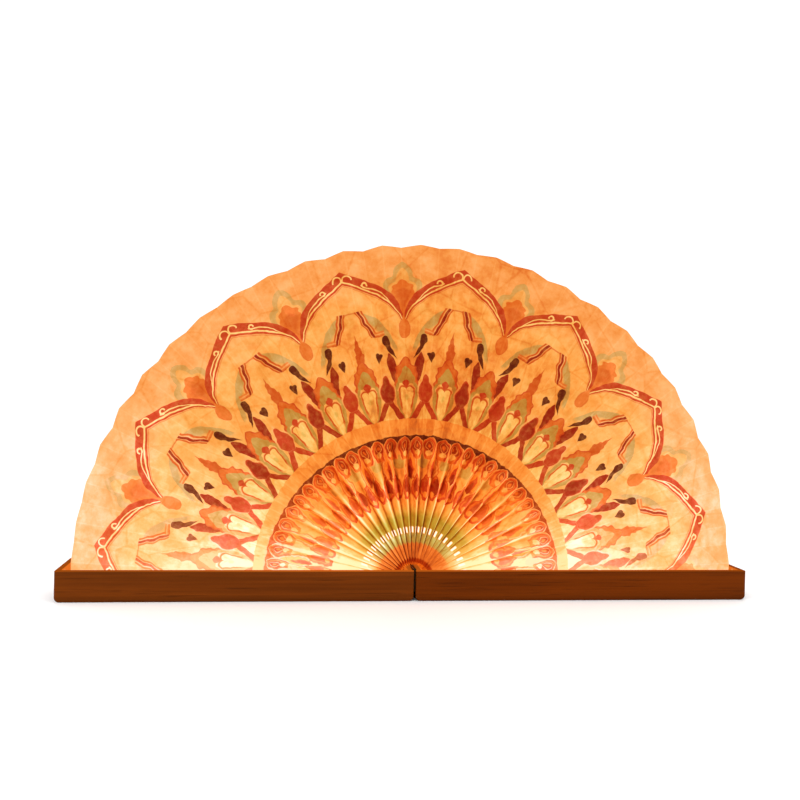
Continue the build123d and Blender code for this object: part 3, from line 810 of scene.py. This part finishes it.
def make_pleat(number, materials):
    """One pleat: from a trough fold over a crest to the next trough, front, rim and back in one."""
    stations = section_loop()
    uneven = CREST_UNEVEN * (0.5 + 0.5 * math.sin(number * 7.1))
    vertices, faces, zones, polar = [], [], [], []
    for zone, (crest_r, crest_y, trough_r, trough_y) in stations:
        for column in range(COLUMNS + 1):
            across = column / COLUMNS
            crest = 1 - abs(2 * across - 1)
            pull = trough_pull(number - 1 if across < 0.5 else number)
            low_r = crest_r - (crest_r - trough_r) * pull if crest_r > trough_r else trough_r
            high_r = crest_r - uneven * outwards(crest_r)
            r = low_r + (high_r - low_r) * crest
            y = trough_y + (crest_y - trough_y) * crest
            share = (number - 1 + across) / PLEATS
            vertices.append(fan_point(share, r, y))
            polar.append((share, r / (PRINT_REACH * MM)))
    row = COLUMNS + 1
    for i, (zone, _) in enumerate(stations):
        here = i * row
        there = (i + 1) % len(stations) * row
        for c in range(COLUMNS):
            faces.append((here + c, here + c + 1, there + c + 1, there + c))
            zones.append(ZONES.index(zone))
    mesh = bpy.data.meshes.new(f"shade_pleat_{number:02d}")
    mesh.from_pydata(vertices, [], faces)
    for zone in ZONES:
        mesh.materials.append(materials[zone])
    for polygon, zone in zip(mesh.polygons, zones):
        polygon.material_index = zone
    layer = mesh.uv_layers.new(name="polar")
    for loop in mesh.loops:
        layer.data[loop.index].uv = polar[loop.vertex_index]
    piece = add_object(mesh.name, mesh)
    thicken(piece, PAPER_THICKNESS, -1.0)
    return piece


def thicken(piece, thickness, offset):
    """Gives a sheet its thickness and applies it: inwards for an offset of -1, to both sides for 0."""
    modifier = piece.modifiers.new("thickness", "SOLIDIFY")
    modifier.thickness = thickness
    modifier.offset = offset
    modifier.use_even_offset = False
    depsgraph = bpy.context.evaluated_depsgraph_get()
    solid = bpy.data.meshes.new_from_object(piece.evaluated_get(depsgraph))
    piece.modifiers.clear()
    name = piece.data.name
    piece.data = solid
    solid.name = name


def build_shade():
    materials = {"outer": outer_print(), "rosette": rosette_print(), "rim": rim_print()}
    for number, node in enumerate(PLEAT_NAMES, 1):
        piece = make_pleat(number, materials)
        share = (number - 0.5) / PLEATS
        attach(piece, f"fold_{number:02d}")
        anchor = tuple(fan_point(share, RADIUS / 2, 0))
        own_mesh(piece)
        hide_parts(node)


# ---------------------------------------------------------------- other materials

def wood_material(name, tint, seed):
    """Oiled reddish hardwood with long grain along the tray, painted with the lamp's glow inside and on
    its rim, and with shade along its foot.
    """
    material, tree, shader = new_material(name, roughness=0.42)
    vector = object_vector(tree)
    shift = tree.nodes.new("ShaderNodeMapping")
    shift.inputs["Location"].default_value = (seed, seed * 0.7, seed * 1.3)
    connect(tree, vector, shift.inputs["Vector"])
    plank = shift.outputs[0]
    broad = noise(tree, plank, 14.0, 3.0, 0.5, (0.35, 3.0, 3.0))
    streaks = noise(tree, plank, 60.0, 4.0, 0.6, (0.08, 3.0, 4.5))
    pores = noise(tree, plank, 320.0, 2.0, 0.6, (0.06, 2.0, 2.0))
    dark = tuple(c * 0.74 for c in tint)
    light = tuple(c * 1.2 for c in tint)
    grain = (broad * 0.5 + streaks * 0.5).ramp(0.38, 0.66)
    colour = mix_colour(tree, dark, light, grain)
    pore = pores.ramp(0.58, 0.70)
    colour = mix_colour(tree, colour, tuple(c * 0.45 for c in tint), pore * 0.55)
    place = tree.nodes.new("ShaderNodeSeparateXYZ")
    connect(tree, vector, place.inputs[0])
    depth = abs(Field(tree, place.outputs[1])) / MM
    height = Field(tree, place.outputs[2]) / MM
    along = abs(Field(tree, place.outputs[0])) / MM
    # Painted shade: the wood is darker towards the bottom, along the foot.
    shaded_foot = (1.0 - height.ramp(0.0, 7.0)) * (broad * 0.5 + 0.2)
    colour = mix_colour(tree, colour, tuple(c * 0.3 for c in tint), shaded_foot)
    connect(tree, colour, shader.inputs["Base Color"])
    connect(tree, streaks * 0.16 + 0.34, shader.inputs["Roughness"])
    edge = (height - (RIM_Z / MM - RIM_GLOW_DEPTH)).above(0.3)
    connect(tree, 0.03 - edge * 0.03, shader.inputs["Specular IOR Level"])
    add_bump(tree, shader, streaks * 0.4 - pore * 0.6, 0.25, 0.0004)
    # Painted light: the lamp's glow is painted on the wood as emission, inside the well and along the rim,
    # weaker towards the ends.
    between_ends = (WELL_FAR - along).above(0.4) * (along - WELL_NEAR).above(0.4)
    well = (WELL_HALF_DEPTH - depth).above(0.4) * between_ends
    inside = well * (height - WELL_FLOOR).above(0.4)
    rim = edge * (0.58 - along.ramp(60.0, 290.0) * 0.30)
    lamp = inside.math("MAXIMUM", rim) * (streaks * 0.4 + 0.8)
    set_glow(tree, shader, mix_colour(tree, (0.0, 0.0, 0.0), GLOW_ON_WOOD, lamp), 1.0)
    return material


def brass_material(name, shine=1.0):
    """Brass gone dark with age, and darker still with the shade of the hinge gap painted into its colour;
    shine makes it lighter where it is rubbed.
    """
    material, tree, shader = new_material(name, roughness=0.35, metallic=1.0)
    vector = object_vector(tree)
    patina = noise(tree, vector, 420.0, 4.0, 0.65)
    brushed = noise(tree, vector, 900.0, 2.0, 0.5, (1, 0.08, 1))
    # Painted shade: both tones are far darker than brass, for the shade in the gap between the trays.
    rubbed = tuple(c * shine for c in (0.034, 0.020, 0.009))
    dark = tuple(c * shine for c in (0.014, 0.009, 0.005))
    connect(tree, mix_colour(tree, rubbed, dark, patina.ramp(0.42, 0.7)), shader.inputs["Base Color"])
    connect(tree, patina * 0.3 + 0.25, shader.inputs["Roughness"])
    add_bump(tree, shader, brushed, 0.15, 0.0001)
    return material


def steel_material():
    material, tree, shader = new_material("bright_steel", roughness=0.3, metallic=1.0)
    vector = object_vector(tree)
    brushed = noise(tree, vector, 1200.0, 2.0, 0.5, (1, 1, 0.1))
    colour = mix_colour(tree, (0.60, 0.60, 0.61), (0.42, 0.42, 0.43), brushed)
    connect(tree, colour, shader.inputs["Base Color"])
    connect(tree, brushed * 0.2 + 0.2, shader.inputs["Roughness"])
    return material


def magnet_material():
    material, tree, shader = new_material("nickel_plate", roughness=0.18, metallic=1.0)
    smear = noise(tree, object_vector(tree), 500.0, 3.0, 0.6)
    colour = mix_colour(tree, (0.72, 0.71, 0.68), (0.55, 0.54, 0.52), smear)
    connect(tree, colour, shader.inputs["Base Color"])
    connect(tree, smear * 0.2 + 0.1, shader.inputs["Roughness"])
    return material


def card_material():
    material, tree, shader = new_material("end_card_painted_glow", roughness=0.9)
    vector = object_vector(tree)
    flecks = noise(tree, vector, 700.0, 4.0, 0.7)
    cloudy = noise(tree, vector, 40.0, 3.0, 0.5)
    colour = mix_colour(tree, (0.80, 0.55, 0.30), (0.66, 0.40, 0.19), cloudy.ramp(0.3, 0.7))
    flecked = mix_colour(tree, colour, (0.5, 0.28, 0.12), flecks.ramp(0.6, 0.72) * 0.5)
    connect(tree, flecked, shader.inputs["Base Color"])
    # Painted light: the card glows with the lamp's light that falls on it inside the shade.
    set_glow(tree, shader, colour, 0.35)
    add_bump(tree, shader, flecks, 0.2, 0.0002)
    return material


def lens_material():
    material, tree, shader = new_material("frosted_lens", roughness=0.4)
    cloudy = noise(tree, object_vector(tree), 60.0, 2.0, 0.5)
    glow = mix_colour(tree, (1.0, 0.74, 0.36), (1.0, 0.86, 0.55), cloudy)
    connect(tree, glow, shader.inputs["Base Color"])
    set_glow(tree, shader, glow, 2.0)
    return material


def chip_material():
    material, tree, shader = new_material("phosphor", roughness=0.5)
    dots = noise(tree, object_vector(tree), 900.0, 2.0, 0.5)
    glow = mix_colour(tree, (1.0, 0.78, 0.30), (1.0, 0.9, 0.55), dots)
    connect(tree, glow, shader.inputs["Base Color"])
    set_glow(tree, shader, glow, 3.0)
    return material


def speckled(name, first, second, scale, roughness, metallic=0.0):
    """A plain moulded, coated or woven surface with fine variation."""
    material, tree, shader = new_material(name, roughness, metallic)
    grain = noise(tree, object_vector(tree), scale, 4.0, 0.6)
    connect(tree, mix_colour(tree, first, second, grain.ramp(0.35, 0.65)), shader.inputs["Base Color"])
    add_bump(tree, shader, grain, 0.15, 0.0001)
    return material


def paint_nodes():
    """Gives every shown CAD node its finished material."""
    brass = brass_material("aged_and_shaded_brass")
    by_node = {
        "left_tray": wood_material("tray_wood_left", (0.138, 0.0288, 0.0018), 1.7),
        "right_tray": wood_material("tray_wood_right", (0.121, 0.0212, 0.0004), 5.3),
        "hinge_pins": brass,
        "battery": speckled("cell_foil", (0.55, 0.56, 0.58), (0.42, 0.43, 0.45), 260.0, 0.35, 0.7),
        "charge_board": speckled("solder_mask", (0.02, 0.13, 0.06), (0.015, 0.09, 0.045), 500.0, 0.3),
        "usb_port": steel_material(),
        "reed_switch": speckled("switch_glass", (0.5, 0.56, 0.54), (0.4, 0.46, 0.44), 300.0, 0.1),
    }
    magnet = magnet_material()
    by_node["sensor_magnet"] = magnet
    shared = {
        "cover_plate": speckled("plywood", (0.42, 0.24, 0.11), (0.30, 0.16, 0.07), 90.0, 0.75),
        "base_card": card_material(),
        "lens": lens_material(),
        "led_board": speckled("white_board", (0.82, 0.82, 0.8), (0.72, 0.72, 0.7), 400.0, 0.4),
        "led_chips": chip_material(),
        "cover_screws": by_node["usb_port"],
        "hinge_screws": brass_material("rubbed_brass", 7.0),
        "latch_magnets": magnet,
        "leads": speckled("silicone", (0.45, 0.03, 0.02), (0.33, 0.02, 0.015), 600.0, 0.55),
    }
    for side in SIDES:
        for part, material in shared.items():
            by_node[f"{side}_{part}"] = material
        for place in ("front", "rear"):
            by_node[f"{place}_hinge_{side}_leaf"] = brass
    for node, material in by_node.items():
        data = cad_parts[node].data
        data.materials.clear()
        data.materials.append(material)


def build_flex():
    """The thin ribbon across the hinge, finely divided."""
    low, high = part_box("hinge_flex")
    material = speckled("amber_ribbon", (0.50, 0.20, 0.035), (0.42, 0.15, 0.02), 300.0, 0.3)
    top = high.z - RIBBON_THICKNESS / 2
    foot = low.z + RIBBON_THICKNESS / 2
    right = [(RIBBON_DROP, top), (RIBBON_DROP, foot), (high.x, foot)]
    corners = [(-x, z) for x, z in reversed(right)] + right
    line = []
    for (x0, z0), (x1, z1) in zip(corners, corners[1:]):
        count = 26 if abs(x1 - x0) > 12 * MM else 6
        line += [(x0 + (x1 - x0) * i / count, z0 + (z1 - z0) * i / count) for i in range(count)]
    line.append(corners[-1])
    vertices = [(x, y, z) for x, z in line for y in (low.y, high.y)]
    faces = [(2 * i, 2 * i + 1, 2 * i + 3, 2 * i + 2) for i in range(len(line) - 1)]
    mesh = bpy.data.meshes.new("hinge_ribbon")
    mesh.from_pydata(vertices, [], faces)
    mesh.materials.append(material)
    piece = add_object("hinge_ribbon", mesh)
    thicken(piece, RIBBON_THICKNESS, 0.0)
    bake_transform(piece)
    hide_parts("hinge_flex")


# ---------------------------------------------------------------- floor, light and camera

def build_stage():
    """A wide white floor, a hair below the lamp."""
    mesh = bpy.data.meshes.new("floor")
    size = 6.0
    corners = [(-size, -size, 0), (size, -size, 0), (size, size, 0), (-size, size, 0)]
    mesh.from_pydata(corners, [], [(0, 1, 2, 3)])
    floor = add_object("floor", mesh)
    floor.location.z = -0.2 * MM
    material, _, shader = new_material("floor_white", roughness=0.9)
    shader.inputs["Base Color"].default_value = (0.99, 0.99, 0.99, 1.0)
    shader.inputs["Specular IOR Level"].default_value = 0.1
    mesh.materials.append(material)


def add_area(name, place, target, size, power):
    light = bpy.data.lights.new(name, "AREA")
    light.shape = "RECTANGLE"
    light.size = size[0]
    light.size_y = size[1]
    light.energy = power
    lamp = add_object(name, light)
    lamp.location = place
    lamp.rotation_euler = (Vector(target) - Vector(place)).to_track_quat("-Z", "Y").to_euler()


def build_light():
    world = bpy.data.worlds.new("studio")
    world.use_nodes = True
    background = world.node_tree.nodes["Background"]
    background.inputs["Color"].default_value = (1.0, 1.0, 1.0, 1.0)
    background.inputs["Strength"].default_value = 1.12
    bpy.context.scene.world = world
    add_area("key", (-0.9, -1.4, 1.5), (0, 0, 0.1), (1.2, 1.2), 9.0)
    add_area("fill", (1.1, -1.2, 1.0), (0, 0, 0.1), (1.4, 1.0), 4.0)


def build_camera():
    data = bpy.data.cameras.new("camera")
    data.sensor_width = CAMERA_SENSOR
    data.lens = CAMERA_LENS
    data.clip_start = 0.01
    camera = add_object("camera", data)
    yaw = math.radians(CAMERA_YAW)
    pitch = math.radians(CAMERA_PITCH)
    roll = math.radians(CAMERA_ROLL)
    forward = Vector((math.sin(yaw) * math.cos(pitch), math.cos(yaw) * math.cos(pitch), math.sin(pitch)))
    level = Vector((math.cos(yaw), -math.sin(yaw), 0))
    upright = level.cross(forward)
    right = level * math.cos(roll) + upright * math.sin(roll)
    up = upright * math.cos(roll) - level * math.sin(roll)
    turn = Matrix((right, up, -forward)).transposed().to_4x4()
    camera.matrix_world = Matrix.Translation(Vector(CAMERA_PLACE)) @ turn
    bpy.context.scene.camera = camera
    bpy.context.scene.view_settings.view_transform = "Standard"


build_camera()
build_stage()
build_light()
paint_nodes()
build_flex()
build_shade()
